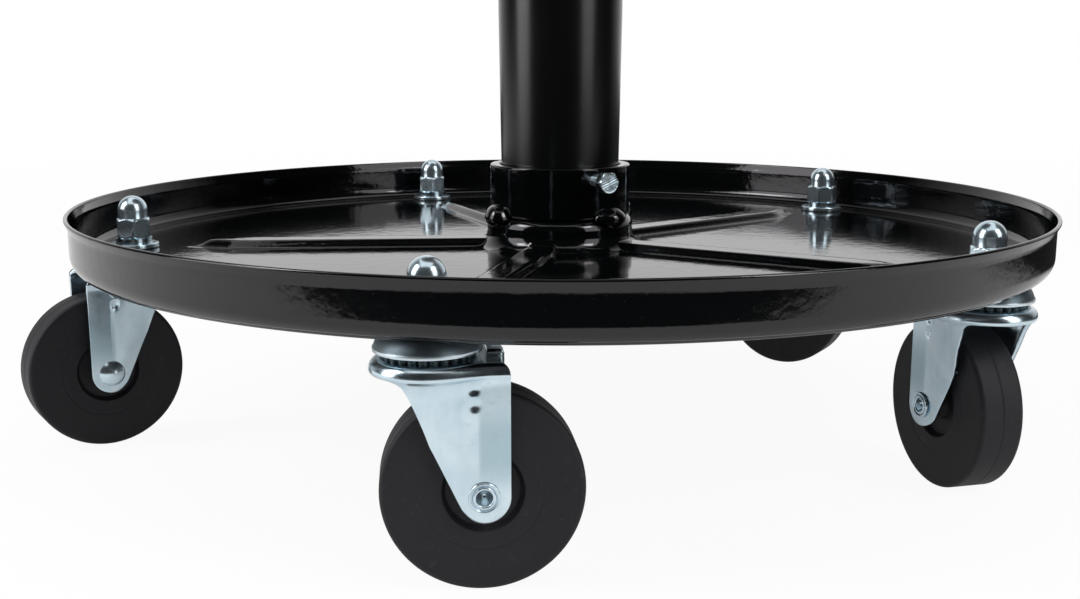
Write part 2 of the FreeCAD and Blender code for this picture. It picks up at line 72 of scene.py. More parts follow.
def gridFaces(rows, cols, closeRows, closeCols):
    # each quad joins a grid point to its neighbours in the next row and column
    r = np.arange(rows if closeRows else rows - 1)[:, None]
    c = np.arange(cols if closeCols else cols - 1)[None, :]
    r2, c2 = (r + 1) % rows, (c + 1) % cols
    return np.stack([r * cols + c, r * cols + c2, r2 * cols + c2, r2 * cols + c], -1).reshape(-1, 4)

def makePiece(name, points, faces, place, finish, body, nodes=(), sharp=meshForm["sharp"]):
    # points in the place's own axes become one smooth-shaded mesh that rides on its body
    material, slot = materials[finish], finishSlots.get(finish, finish)
    origin, basis = place
    world = np.asarray(points).reshape(-1, 3) @ basis + origin
    mesh = bpy.data.meshes.new(name)
    mesh.from_pydata(world, [], np.asarray(faces).tolist())
    bm = bmesh.new()
    bm.from_mesh(mesh)
    bmesh.ops.remove_doubles(bm, verts=bm.verts, dist=meshForm["merge"])
    bmesh.ops.dissolve_degenerate(bm, edges=bm.edges, dist=meshForm["sliver"])
    bmesh.ops.recalc_face_normals(bm, faces=bm.faces)
    bm.to_mesh(mesh)
    bm.free()
    mesh.shade_smooth()
    mesh.set_sharp_from_angle(angle=math.radians(sharp))
    mesh.materials.append(material)
    piece = bpy.data.objects.new(name, mesh)
    bpy.context.scene.collection.objects.link(piece)
    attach(piece, body)
    if nodes:
        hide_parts(*nodes)
    return piece

def lathePoints(profile, segments, squeeze=None):
    # each profile point (r, z) swept round the Z axis: (r cos a, r sin a, z), r scaled by squeeze(r, z, a)
    a = np.linspace(0, 2 * np.pi, segments, endpoint=False)[None, :]
    r, z = profile[:, :1], profile[:, 1:]
    radius = r + 0 * a if squeeze is None else squeeze(r, z, a)
    return np.stack([radius * np.cos(a), radius * np.sin(a), z + 0 * a], -1)

def eased(profile, closed):
    # each long straight run gets a point close to both its ends, so that its shading stays straight
    ends = np.concatenate([profile[1:], profile[:1]]) if closed else profile[1:]
    points = []
    for start, end in zip(profile, ends):
        points.append(start)
        run = np.linalg.norm(end - start)
        if run >= meshForm["longRun"]:
            gap = (end - start) * meshForm["easeGap"] / run
            points += [start + gap, end - gap]
    return np.array(points if closed else points + [profile[-1]])

def lathe(name, profile, segments, place, finish, body, nodes=(), closed=False, sharp=meshForm["sharp"]):
    # one piece: an eased section turned round the Z axis of its place
    profile = eased(np.asarray(profile, float), closed)
    faces = gridFaces(len(profile), segments, closed, True)
    makePiece(name, lathePoints(profile * mm, segments), faces, place, finish, body, nodes, sharp)

def joinGrids(grids):
    # several grids, each closed round its columns, in one mesh: faces are shifted by the points before them
    points, faces, shift = [], [], 0
    for grid in grids:
        points.append(grid.reshape(-1, 3))
        faces.append(gridFaces(grid.shape[0], grid.shape[1], False, True) + shift)
        shift += len(points[-1])
    return np.concatenate(points), np.concatenate(faces)

def roundedRing(inner, outer, low, high, edge):
    # a rectangle between two radii and two heights with its four corners rounded
    count = meshForm["cornerRings"]
    return np.concatenate([
        arcPoints(outer - edge, low + edge, edge, -90, 0, count),
        arcPoints(outer - edge, high - edge, edge, 0, 90, count),
        arcPoints(inner + edge, high - edge, edge, 90, 180, count),
        arcPoints(inner + edge, low + edge, edge, 180, 270, count)])

def hexRings(size, low, high, lowSteps, highSteps):
    # section points near both ends of a hexagon, wider than the flats that hexSqueeze cuts from them
    return [[size, low + step] for step in lowSteps] + [[size, high - step] for step in highSteps]

def hexSqueeze(acrossFlats, chamferRadius, chamferSlope, top, bottom):
    # radius of a hexagon's flat at each angle, cut back by a cone at its top and bottom
    def squeeze(r, z, a):
        flat = acrossFlats / 2 / np.cos((a + np.pi / 6) % (np.pi / 3) - np.pi / 6)
        cone = chamferRadius + chamferSlope * np.minimum(top - z, z - bottom)
        return np.where(r > 0, np.minimum(np.minimum(flat, cone), r), 0)
    return squeeze

def casterPlace(k):
    # the caster's own axes: trailing direction, axle direction and up
    pivot, hub = jointAt[f"caster_{k}_swivel"], jointAt[f"caster_{k}_roll"]
    trail = (hub - pivot) * np.array([1, 1, 0])
    length = np.linalg.norm(trail)
    trail = trail / length
    basis = np.array([trail, np.cross([0, 0, 1], trail), [0, 0, 1]])
    return (pivot * np.array([1, 1, 0]), basis), length

def axlePlace(k):
    # the wheel's own axes: trailing direction, down and the axle direction
    (_, basis), _ = casterPlace(k)
    trail, axle, upward = basis
    return jointAt[f"caster_{k}_roll"], np.array([trail, -upward, axle])

# Shader helpers

class Value:
    # a shader socket that takes part in Python arithmetic
    def __init__(self, tree, socket):
        self.tree = tree
        self.socket = socket

    def join(self, target, value):
        if isinstance(value, Value):
            self.tree.links.new(value.socket, target)
        else:
            target.default_value = value

    def node(self, kind, settings=None, output=0, **inputs):
        # inputs named i0, i1 and so on go by number, the others by the socket's name
        made = self.tree.nodes.new(kind)
        for key, value in (settings or {}).items():
            setattr(made, key, value)
        for key, value in inputs.items():
            numbered = key[0] == "i" and key[1:].isdigit()
            self.join(made.inputs[int(key[1:]) if numbered else key], value)
        return Value(self.tree, made.outputs[output])

    def maths(self, operation, first, second):
        return self.node("ShaderNodeMath", {"operation": operation}, i0=first, i1=second)

    def __add__(self, other):
        return self.maths("ADD", self, other)

    def __radd__(self, other):
        return self.maths("ADD", other, self)

    def __sub__(self, other):
        return self.maths("SUBTRACT", self, other)

    def __rsub__(self, other):
        return self.maths("SUBTRACT", other, self)

    def __mul__(self, other):
        return self.maths("MULTIPLY", self, other)

    def between(self, low, high):
        # 0 at the low end, 1 at the high end, held outside them
        return self.node("ShaderNodeMapRange", {"clamp": True}, i0=self, i1=low, i2=high, i3=0.0, i4=1.0)

    def blend(self, first, second):
        # a colour mix by this value, from the first colour to the second
        return self.node("ShaderNodeMix", {"data_type": "RGBA"}, 2, i0=self, i6=first, i7=second)

    def noise(self, scale, detail=3.0, rough=0.5, stretch=None):
        coords = self.node("ShaderNodeTexCoord", None, 3)
        if stretch:
            coords = self.node("ShaderNodeMapping", None, 0, Vector=coords, Scale=stretch)
        return self.node("ShaderNodeTexNoise", None, 0, Vector=coords, Scale=scale, Detail=detail, Roughness=rough)

    def cells(self, scale):
        coords = self.node("ShaderNodeTexCoord", None, 3)
        return self.node("ShaderNodeTexVoronoi", None, 0, Vector=coords, Scale=scale)

    def bump(self, height, strength, distance):
        return self.node("ShaderNodeBump", None, 0, Strength=strength, Distance=distance, Height=height)

def finishMaterial(name, build):
    # build(value) returns the shader's inputs; numbers and colours go straight onto the sockets
    material = bpy.data.materials.new(name)
    material.use_nodes = True
    tree = material.node_tree
    shader = tree.nodes["Principled BSDF"]
    value = Value(tree, None)
    for key, entry in build(value).items():
        value.join(shader.inputs[key], entry)
    return material

def grey(level):
    return (level, level, level, 1)

def glossBlackFinish(v):
    # wet black paint over steel: a slow orange-peel wave, fine specks of dust in the coat
    peel = v.noise(150.0, 2.0) * 0.65 + v.noise(420.0, 2.0) * 0.35
    dust = v.cells(420.0).between(0.10, 0.03)
    return {"Base Color": (dust * 0.25).blend((0.0013, 0.0018, 0.0020, 1), grey(0.05)),
            "Roughness": 0.08 + dust * 0.25, "Specular IOR Level": 0.5, "Specular Tint": (1, 0.96, 1, 1),
            "Normal": v.bump(peel, 0.12, 0.0008)}

def satinBlackFinish(v):
    # powder coat: fine pebbled grain and a soft sheen
    grain = v.noise(1500.0, 3.0)
    patch = v.noise(40.0, 3.0)
    return {"Base Color": patch.blend((0.0016, 0.0021, 0.0023, 1), grey(0.0034)),
            "Roughness": 0.19 + patch * 0.07, "Specular IOR Level": 0.5, "Normal": v.bump(grain, 0.08, 0.0002)}

def zincTone(v):
    # cloudy patches and drawn streaks of zinc plate, and the bluish colour between their two ends
    tone = v.noise(95.0, 4.0, 0.6) * 0.6 + v.noise(210.0, 3.0, 0.5, (1.0, 1.0, 0.12)) * 0.4
    return tone, tone.between(0.30, 0.70).blend((0.50, 0.64, 0.72, 1), (0.71, 0.82, 0.88, 1))

def zincFinish(v):
    # bright pressed plate: the rear facet of a leg is darker and bluer as painted shade, and small rubs are darker
    # still
    tone, colour = zincTone(v)
    rub = v.noise(260.0, 4.0, 0.65).between(0.58, 0.80)
    # painted shade: the rear facet of a pressed leg takes this darker, bluer colour, standing in for the shaded
    # floor it reflects near the tray
    facet = v.node("ShaderNodeAttribute", {"attribute_name": "rearFacetShade"}, 2)
    colour = facet.blend(colour, (0.42, 0.55, 0.61, 1))
    return {"Base Color": (rub * 0.25).blend(colour, (0.33, 0.45, 0.52, 1)), "Metallic": 1.0,
            "Roughness": 0.13 + tone * 0.16 + rub * 0.06, "Normal": v.bump(tone, 0.05, 0.0005)}

def zincFastenerFinish(v):
    # barrel-plated nuts, washers and rivets: the same tone under a thin milky film
    tone, colour = zincTone(v)
    return {"Base Color": colour, "Metallic": 0.94, "Roughness": 0.15 + tone * 0.14,
            "Normal": v.bump(tone, 0.05, 0.0004)}

# height of the race's upright edge, and the blend of the painted highlight along it
raceEdgeForm = dict(edge=1.4, blend=0.2)
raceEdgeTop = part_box("caster_upper_races")[0][2] + raceEdgeForm["edge"] * mm

def dullZincFinish(v):
    # pressed steel that was left matt: the same clouding, darker, partly a duller plate and partly painted shade
    # under the tray, with a painted highlight on the upright edge
    cloud = v.noise(160.0, 4.0, 0.6)
    height = v.node("ShaderNodeSeparateXYZ", None, 2, Vector=v.node("ShaderNodeTexCoord", None, 3))
    blend = raceEdgeForm["blend"] * mm
    # painted highlight: bright zinc colour and less roughness on the upright edge below its top
    edgeHighlight = height.between(raceEdgeTop + blend, raceEdgeTop - blend)
    colour = cloud.blend((0.09, 0.125, 0.145, 1), (0.20, 0.245, 0.27, 1))
    return {"Base Color": edgeHighlight.blend(colour, (0.62, 0.71, 0.76, 1)), "Metallic": 1.0,
            "Roughness": 0.36 + cloud * 0.14 - edgeHighlight * 0.12, "Normal": v.bump(cloud, 0.06, 0.0004)}

def greasedShadedSteelFinish(v):
    # a greased film on the balls, darkened further as painted shade of the narrow gap they sit in
    film = v.noise(700.0, 3.0)
    return {"Base Color": film.blend((0.020, 0.034, 0.040, 1), (0.10, 0.13, 0.14, 1)), "Metallic": 0.8,
            "Roughness": 0.30 + film * 0.25}

def brightSteelFinish(v):
    line = v.noise(900.0, 2.0, 0.5, (1.0, 1.0, 0.05))
    return {"Base Color": line.blend((0.55, 0.56, 0.58, 1), (0.74, 0.75, 0.76, 1)), "Metallic": 1.0,
            "Roughness": 0.10 + line * 0.14}

def wheelFinish(v):
    # hard moulded plastic: flow clouding, a fine eroded grain and light scuffs
    cloud = v.noise(70.0, 3.0)
    grain = v.noise(2200.0, 2.0)
    scuff = v.noise(330.0, 4.0, 0.7).between(0.60, 0.78)
    colour = cloud.blend((0.0085, 0.0083, 0.0108, 1), (0.0150, 0.0145, 0.0180, 1))
    return {"Base Color": (scuff * 0.5).blend(colour, (0.042, 0.041, 0.046, 1)),
            "Roughness": 0.50 + cloud * 0.12, "Specular IOR Level": 0.32, "Normal": v.bump(grain, 0.20, 0.00015)}

def nylonFinish(v):
    grain = v.noise(1300.0, 2.0)
    return {"Base Color": grain.blend(grey(0.030), grey(0.044)), "Roughness": 0.45 + grain * 0.12,
            "Normal": v.bump(grain, 0.10, 0.0002)}

def gripFinish(v):
    grain = v.cells(1500.0)
    return {"Base Color": grain.blend(grey(0.012), grey(0.020)), "Roughness": 0.48 + grain * 0.15,
            "Normal": v.bump(grain, 0.18, 0.0002)}

def rubberFinish(v):
    grain = v.noise(800.0, 3.0)
    return {"Base Color": grain.blend(grey(0.014), grey(0.026)), "Roughness": 0.72 + grain * 0.12,
            "Normal": v.bump(grain, 0.15, 0.0003)}

def plywoodFinish(v):
    # dark-stained board: long grain along X with thin darker pores
    grain = v.noise(130.0, 5.0, 0.6, (0.06, 1.0, 1.0))
    pore = v.noise(900.0, 2.0, 0.5, (0.03, 1.0, 1.0)).between(0.60, 0.72)
    colour = grain.between(0.3, 0.7).blend((0.035, 0.026, 0.020, 1), (0.065, 0.048, 0.036, 1))
    return {"Base Color": (pore * 0.4).blend(colour, (0.018, 0.013, 0.010, 1)),
            "Roughness": 0.62 + grain * 0.12, "Normal": v.bump(grain, 0.12, 0.0004)}

def vinylFinish(v):
    # leather-grain vinyl: raised cells a millimetre or two across, paler on their tops and darker between them
    cells = v.cells(620.0)
    fold = v.noise(60.0, 3.0)
    return {"Base Color": cells.between(0.1, 0.8).blend(grey(0.013), grey(0.0075)),
            "Roughness": 0.48 + fold * 0.14, "Specular IOR Level": 0.38, "Normal": v.bump(1 - cells, 0.30, 0.0005)}

finishes = {"gloss_black": glossBlackFinish, "satin_black": satinBlackFinish, "zinc": zincFinish,
            "bright_steel": brightSteelFinish, "nylon": nylonFinish, "grip_plastic": gripFinish,
            "bumper_rubber": rubberFinish, "plywood": plywoodFinish, "vinyl": vinylFinish,
            "wheel_charcoal": wheelFinish, "zincFastener": zincFastenerFinish, "dullZinc": dullZincFinish,
            "greasedShadedSteel": greasedShadedSteelFinish}
finishSlots = dict(zincFastener="zinc", dullZinc="zinc", greasedShadedSteel="bright_steel")
materials = {slot: finishMaterial(slot, build) for slot, build in finishes.items()}
for entry in frame["record"]["subparts"]:
    node = frame["nodes"][entry["node"]]
    node.data.materials.clear()
    node.data.materials.append(materials[entry["material_slot"]])
print("finishes made", len(materials))

# Tray

trayForm = dict(
    sheet=1.6, lipFlare=1.4, lipHeight=3.6, lipBlend=1.2, lipStart=0.15, wallCorner=6.5, bore=24.6,
    bossRadius=31.0, bossHeight=13.0, bossShoulder=4.5, bossFoot=6.0, ribTip=156.0, ribPoint=20.0, ribHalf=8.2,
    ribHeight=3.0, ribSlope=3.4, ease=0.4, flatGap=3.0, underRings=34, floorRings=44, cornerRings=16,
    wallRings=6, segments=720)
trayLow, trayHigh = inMm(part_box("tray"))
trayUnder, rimTop, trayRadius = trayLow[2], trayHigh[2], trayHigh[0]
floorTop = trayUnder + trayForm["sheet"]
bossTop = floorTop + trayForm["bossHeight"]
pivots = [jointAt[f"caster_{k}_swivel"] for k in casterNumbers]
ribAngles = [math.atan2(pivot[1], pivot[0]) for pivot in pivots]

def smoothStep(x):
    # three times the square less twice the cube, held between 0 and 1
    x = np.clip(x, 0, 1)
    return x * x * (3 - 2 * x)

def ribRise(x, y):
    # each rib rises where the distance inside its pointed outline passes from 0 to the slope's run
    rise = np.zeros_like(x)
    for angle in ribAngles:
        along = x * math.cos(angle) + y * math.sin(angle)
        aside = np.abs(y * math.cos(angle) - x * math.sin(angle))
        taper = np.clip((trayForm["ribTip"] - along) / trayForm["ribPoint"], 0, 1)
        inside = trayForm["ribHalf"] * taper - aside
        inside = np.where(along > 0, inside, -1)
        rise = np.maximum(rise, trayForm["ribHeight"] * smoothStep(inside / trayForm["ribSlope"]))
    return rise

def trayProfile():
    # the sheet's section from the hub bore out along the underside, over the lip and back along the inside
    t = trayForm
    sheet, ease = t["sheet"], t["ease"]
    wall = trayRadius - t["lipFlare"]
    inner = wall - sheet
    footX, footZ = t["bossRadius"] + t["bossFoot"], floorTop + t["bossFoot"]
    cornerX, cornerZ = wall - t["wallCorner"], trayUnder + t["wallCorner"]
    shoulderX, shoulderZ = t["bossRadius"] - t["bossShoulder"], bossTop - t["bossShoulder"]
    flatStart, flatEnd = footX + t["flatGap"], cornerX - t["flatGap"]
    edge = sheet / 2
    lipFoot = rimTop - t["lipHeight"]
    wallTop = lipFoot - t["lipBlend"]
    return np.concatenate([
        [[t["bore"], bossTop - sheet]],
        arcPoints(shoulderX, shoulderZ, t["bossShoulder"] - sheet, 90, 0, 4),
        arcPoints(footX, footZ, t["bossFoot"] + sheet, 180, 270, 6),
        linePoints((flatStart, trayUnder), (flatEnd, trayUnder), t["underRings"]),
        arcPoints(cornerX, cornerZ, t["wallCorner"], 270, 360, t["cornerRings"]),
        linePoints((wall, cornerZ + ease), (wall, wallTop - ease), t["wallRings"]),
        linePoints((wall, wallTop), (wall + t["lipStart"], lipFoot + ease), 3),
        arcPoints(trayRadius - edge, rimTop - edge, edge, -20, 200, 9),
        linePoints((inner + t["lipStart"], lipFoot + ease), (inner, wallTop), 3),
        linePoints((inner, wallTop - ease), (inner, cornerZ + ease), t["wallRings"]),
        arcPoints(cornerX, cornerZ, t["wallCorner"] - sheet, 0, -90, t["cornerRings"]),
        linePoints((flatEnd, floorTop), (flatStart, floorTop), t["floorRings"]),
        arcPoints(footX, footZ, t["bossFoot"], 270, 180, 8),
        arcPoints(shoulderX, shoulderZ, t["bossShoulder"], 0, 90, 6),
        [[t["bore"], bossTop]]])

def makeTray():
    # the section turned round the axis, then floor and underside lifted together where a rib rises
    points = lathePoints(trayProfile(), trayForm["segments"])
    x, y, z = points[..., 0], points[..., 1], points[..., 2]
    level = np.where(z < floorTop - trayForm["sheet"] / 2, trayUnder, floorTop)
    pastBoss = np.hypot(x, y) > trayForm["bossRadius"]
    points[..., 2] = np.maximum(z, level + ribRise(x, y) * pastBoss)
    faces = gridFaces(points.shape[0], points.shape[1], True, True)
    makePiece("trayDish", points * mm, faces, worldPlace, "gloss_black", "base", ["tray"], sharp=40)

makeTray()
print("tray made")

# Column, collar, weld lumps and set screw

columnForm = dict(footRadius=24.15, taperLength=110.0, wall=2.2, edge=0.7, rings=30, edgeRings=5, segments=160)
collarForm = dict(gap=0.9, edge=0.6, segments=160)
weldForm = dict(
    angles=(210.0, 314.0, 33.0, 122.0), size=(5.8, 7.4, 5.0), swell=(0.07, 0.05), rows=20, cols=32)
screwForm = dict(
    angle=-61.5, radius=2.5, acrossFlats=8.0, headHeight=4.2, reach=12.0, pitch=0.8, threadDepth=0.3,
    pitchRings=4, lowSteps=(0.0, 0.4), highSteps=(1.0, 0.5, 0.0), chamferShare=0.98, chamferSlope=1.6,
    faceShares=(0.44, 0.38, 0.32, 0.26, 0.20, 0.14, 0.08, 0.0), dimple=0.10, dimpleWave=(3.1, 1.3, 2.7, -1.1),
    shankSegments=32, headSegments=72)
columnLow, columnHigh = inMm(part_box("column_tube"))
collarLow, collarHigh = inMm(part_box("hub_collar"))
screwLow, screwHigh = inMm(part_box("set_screw"))

def columnRadius(z):
    # grows evenly from the foot over the length of the taper, then stays
    share = np.clip((z - columnLow[2]) / columnForm["taperLength"], 0, 1)
    return columnForm["footRadius"] + (columnHigh[0] - columnForm["footRadius"]) * share

def makeColumn():
    # outside up the tapered foot and the straight tube, over the rounded top and down the bore
    edge, wall = columnForm["edge"], columnForm["wall"]
    heights = np.linspace(columnLow[2], columnHigh[2] - edge, columnForm["rings"])
    outside = np.stack([columnRadius(heights), heights], 1)
    top = arcPoints(columnHigh[0] - edge, columnHigh[2] - edge, edge, 0, 90, columnForm["edgeRings"])
    inside = np.stack([columnRadius(heights[::-1]) - wall, heights[::-1]], 1)
    lathe("columnTube", np.concatenate([outside, top, inside]), columnForm["segments"], worldPlace,
          "satin_black", "base", ["column_tube"], True)

def makeCollar():
    # a ring with rounded edges that stands off the column by a small gap
    inner = columnRadius(collarHigh[2]) + collarForm["gap"]
    profile = roundedRing(inner, collarHigh[0], collarLow[2], collarHigh[2], collarForm["edge"])
    lathe("hubCollar", profile, collarForm["segments"], worldPlace, "gloss_black", "base", ["hub_collar"], True)

def makeWelds():
    # each lump is an ellipsoid whose radius swells and dips with a few sine waves
    v = np.linspace(0, np.pi, weldForm["rows"])[:, None]
    u = np.linspace(0, 2 * np.pi, weldForm["cols"], endpoint=False)[None, :]
    around, down = weldForm["swell"]
    sx, sy, sz = weldForm["size"]
    middle = np.sin(v) ** 2
    grids = []
    for number, angle in enumerate(weldForm["angles"]):
        swell = 1 + around * np.sin(3 * u + number) * middle + down * np.sin(4 * v + 2 * number) * middle
        x = collarHigh[0] + sx * swell * np.sin(v) * np.cos(u)
        y = sy * swell * np.sin(v) * np.sin(u)
        z = collarLow[2] + sz * swell * np.cos(v) + 0 * u
        c, s = math.cos(math.radians(angle)), math.sin(math.radians(angle))
        grids.append(np.stack([x * c - y * s, x * s + y * c, z], -1) * mm)
    points, faces = joinGrids(grids)
    makePiece("weldLumps", points, faces, worldPlace, "gloss_black", "base", ["weld_beads"], sharp=60)

def makeSetScrew():
    # a shank whose radius is a cosine wave, then a chamfered hexagon dimpled by the square of two crossed sines
    s = screwForm
    direction = np.array([math.cos(math.radians(s["angle"])), math.sin(math.radians(s["angle"])), 0])
    height = (screwLow[2] + screwHigh[2]) / 2
    outer = collarHigh[0] + s["reach"]
    head = outer - s["headHeight"]
    tip = columnRadius(collarHigh[2])
    place = (np.array([0, 0, height]) * mm, np.array([[0, 0, 1.0], np.cross(direction, [0, 0, 1]), direction]))
    along = np.arange(tip, head, s["pitch"] / s["pitchRings"])
    wave = s["radius"] - s["threadDepth"] * (0.5 + 0.5 * np.cos(2 * np.pi * along / s["pitch"]))
    shank = np.concatenate([[[0, tip]], np.stack([wave, along], 1), [[s["radius"], head]]])
    big = s["acrossFlats"]
    block = np.array([[0, head]] + hexRings(big, head, outer, s["lowSteps"], s["highSteps"])
                     + [[big * share, outer] for share in s["faceShares"]])
    squeeze = hexSqueeze(big * mm, big / 2 * s["chamferShare"] * mm, s["chamferSlope"], outer * mm, head * mm)
    headPoints = lathePoints(block * mm, s["headSegments"], squeeze)
    face = headPoints[-len(s["faceShares"]):]
    x, y = face[..., 0] / mm, face[..., 1] / mm
    a, b, c, d = s["dimpleWave"]
    face[..., 2] -= s["dimple"] * mm * (np.sin(a * x + b * y) * np.sin(c * y + d * x)) ** 2
    points, faces = joinGrids([lathePoints(shank * mm, s["shankSegments"]), headPoints])
    makePiece("setScrew", points, faces, place, "zinc", "base", ["set_screw"], sharp=30)

makeColumn()
makeCollar()
makeWelds()
makeSetScrew()
print("column and collar made")

# Cap nuts and washers inside the tray

nutForm = dict(
    stud=4.0, washerRadius=10.0, washer=2.0, washerEdge=0.45, lockWasher=2.2, acrossFlats=13.0, hexHeight=8.0,
    lowSteps=(0.0, 0.4, 0.9), highSteps=(1.1, 0.6, 0.2, 0.0), chamferSlope=1.5, neck=0.5, collar=3.4,
    domeRadius=6.0, turns=(0.0, -15.6, -14.5, 5.9, 0.0), segments=72)

def makeNuts():
    # washer ring, then a hexagon with chamfered corners under a short neck and a half-round dome
    n = nutForm
    washerTop = floorTop + n["washer"]
    washer = roundedRing(n["stud"], n["washerRadius"], floorTop, washerTop, n["washerEdge"])
    low = washerTop + n["lockWasher"]
    hexTop = low + n["hexHeight"]
    big, neck, segments = n["acrossFlats"], n["neck"], n["segments"]
    hexLine = np.array([[n["stud"], low]] + hexRings(big, low, hexTop, n["lowSteps"], n["highSteps"])
                       + [[n["domeRadius"], hexTop]])
    dome = np.concatenate([arcPoints(n["domeRadius"] + neck, hexTop + neck, neck, 270, 180, 4),
                           arcPoints(0, hexTop + n["collar"], n["domeRadius"], 0, 90, 14)])
    squeeze = hexSqueeze(big * mm, big / 2 * mm, n["chamferSlope"], hexTop * mm, low * mm)
    points, faces = joinGrids([lathePoints(hexLine * mm, segments, squeeze), lathePoints(dome * mm, segments)])
    for k in casterNumbers:
        origin, basis = casterPlace(k)[0]
        lathe(f"flatWasher{k}", washer, segments, (origin, basis), "zincFastener", "base",
              ["flat_washers"] if k == 1 else (), True)
        turn = math.radians(n["turns"][k - 1])
        spun = np.array([[math.cos(turn), math.sin(turn), 0], [-math.sin(turn), math.cos(turn), 0], [0, 0, 1]])
        makePiece(f"capNut{k}", points, faces, (origin, spun @ basis), "zincFastener", "base",
                  ["cap_nuts"] if k == 1 else (), sharp=28)

makeNuts()
print("nuts made")

# Casters

forkForm = dict(
    sheet=2.0, half=14.3, foot=8.0, crownRadius=18.0, shoulder=3.5, tuck=1.6, tuckTurn=50.0, skirt=4.7,
    frontReach=10.0, fillet=5.0, creaseX=14.6, facet=0.11, facetTop=67.0, facetFade=28.0, step=0.35,
    stepRun=1.3, stepTop=62.0, stepFoot=31.0, stepFade=12.0, dentDepth=0.5, dentX=1.25, dentZ=1.7,
    dents=((13.1, 65.0), (13.3, 60.0)), rollRun=7.0, rollDepth=1.2, rearTaper=0.75, taperRun=20.0, hole=3.8,
    rearRound=2.4, footTurn=150, footRings=30, legRings=8, frontRings=37, topRows=5, shoulderRows=10,
    bendShare=0.16, bendRows=18, legRows=44)
lipForm = dict(
    height=2.3, half=5.0, wall=4.8, gap=0.65, cornerShare=0.7, cornerRings=7, ease=0.5, bevel=0.15, close=0.7)
headForm = dict(
    raceRadius=16.75, edge=raceEdgeForm["edge"], lowDrop=5.2, coneTop=14.6, coneLean=(0.55, 0.45), coneRings=9,
    skirt=15.6, round=0.3, pin=4.8, raceRise=2.4, segments=96, ballPitch=13.0, ballRadius=1.6, ballRise=0.7,
    ballCount=26, ballRows=9, ballCols=14)
axleForm = dict(
    radius=4.0, bore=2.5, pitDepth=3.2, pitShares=(0.5, 0.7), mouth=(0.1, 0.5), ring=0.55, grooveOut=1.35,
    groove=0.25, flare=0.9, flareRound=0.45, flareDrop=0.35, shankStep=0.2, head=5.2, headHeight=2.6,
    turned=(5,), segments=48)
wheelForm = dict(
    radius=31.5, width=17.0, edge=1.6, recess=12.5, recessDepth=2.4, floorStop=1.6, floorInset=1.2,
    floorRound=0.4, mouthRound=0.5, bore=6.0, ring=18.0, ringHalf=0.4, ringDepth=0.12, seam=0.18, seamHalf=0.5,
    segments=144)

def forkSection():
    # the level section: down one side from the rear, round the front and back along the other side
    f = forkForm
    trail = casterPlace(1)[1] / mm
    foot = trail + f["foot"] * np.cos(np.radians(np.linspace(0, f["footTurn"], f["footRings"])))
    side = np.concatenate([foot, np.linspace(foot[-1], 0, f["legRings"])[1:]])
    turn = np.radians(np.linspace(0, 180, f["frontRings"]))[1:-1]
    baseX = np.concatenate([side, 0 * turn, side[::-1]])
    outX = np.concatenate([0 * side, -np.sin(turn), 0 * side])
    outY = np.concatenate([-1 + 0 * side, -np.cos(turn), 1 + 0 * side])
    return baseX, outX, outY, trail

def forkSlant(trail, axleZ, skirtZ):
    # fall of the leading edge: the line from the skirt's front that touches the round foot
    reach, drop = trail + forkForm["frontReach"], skirtZ - axleZ
    return math.asin(forkForm["foot"] / math.hypot(reach, drop)) + math.atan2(drop, reach)

def forkFloor(x, trail, axleZ, skirtZ):
    # lowest height of the side outline: skirt, fillet, slanted leading edge, then the round foot
    f = forkForm
    slant = forkSlant(trail, axleZ, skirtZ)
    setback = f["fillet"] * math.tan(slant / 2)
    filletX = -f["frontReach"] - setback
    touchX = trail - f["foot"] * math.sin(slant)
    curve = skirtZ - f["fillet"] + np.sqrt(np.maximum(f["fillet"] ** 2 - (x - filletX) ** 2, 0))
    line = skirtZ - (x + f["frontReach"]) * math.tan(slant)
    foot = axleZ - np.sqrt(np.maximum(f["foot"] ** 2 - (x - trail) ** 2, 0))
    slope = np.where(x < -f["frontReach"] + setback * math.cos(slant), curve, np.where(x < touchX, line, foot))
    return np.where(x < filletX, skirtZ, slope)

def forkWidth(z, widestZ, crownHalf):
    # half width below the crown: a tucked-under arc, then a decaying curve that runs into the straight leg
    f = forkForm
    tuck = f["tuck"] * (crownHalf - f["half"]) / (f["crownRadius"] - f["half"])
    turn = math.radians(f["tuckTurn"])
    tuckZ = widestZ - tuck * math.sin(turn)
    tuckHalf = crownHalf - tuck * (1 - math.cos(turn))
    arc = crownHalf - tuck + np.sqrt(np.maximum(tuck ** 2 - (widestZ - z) ** 2, 0))
    length = (tuckHalf - f["half"]) / math.tan(turn)
    fade = f["half"] + (tuckHalf - f["half"]) * np.exp(np.minimum(z - tuckZ, 0) / length)
    return np.where(z > tuckZ, arc, fade)

def behindCrease(x):
    # 0 ahead of the leg's crease, 1 behind it
    return smoothStep((x - forkForm["creaseX"]) / forkForm["stepRun"] + 0.5)

def pressedBand(z):
    # 1 at the heights where the leg is stepped, fading out above and below
    f = forkForm
    return smoothStep((f["stepTop"] - z) / f["stepFade"]) * smoothStep((z - f["stepFoot"]) / f["stepFade"])

def pressedIn(x, z, skirtZ, slant):
    # depth of the pressing: a leaning facet and a step ahead of the crease, a front edge rolled in by a square
    f = forkForm
    depth = f["facet"] * np.maximum(f["creaseX"] - x, 0) * smoothStep((f["facetTop"] - z) / f["facetFade"])
    depth = depth + f["step"] * pressedBand(z) * (1 - behindCrease(x))
    edgeX = (skirtZ - z) / math.tan(slant) - f["frontReach"]
    behind = np.clip((x - edgeX) * math.sin(slant) / f["rollRun"], 0, 1)
    return depth + f["rollDepth"] * (1 - behind) ** 2 * smoothStep((skirtZ - z) / f["rollRun"])

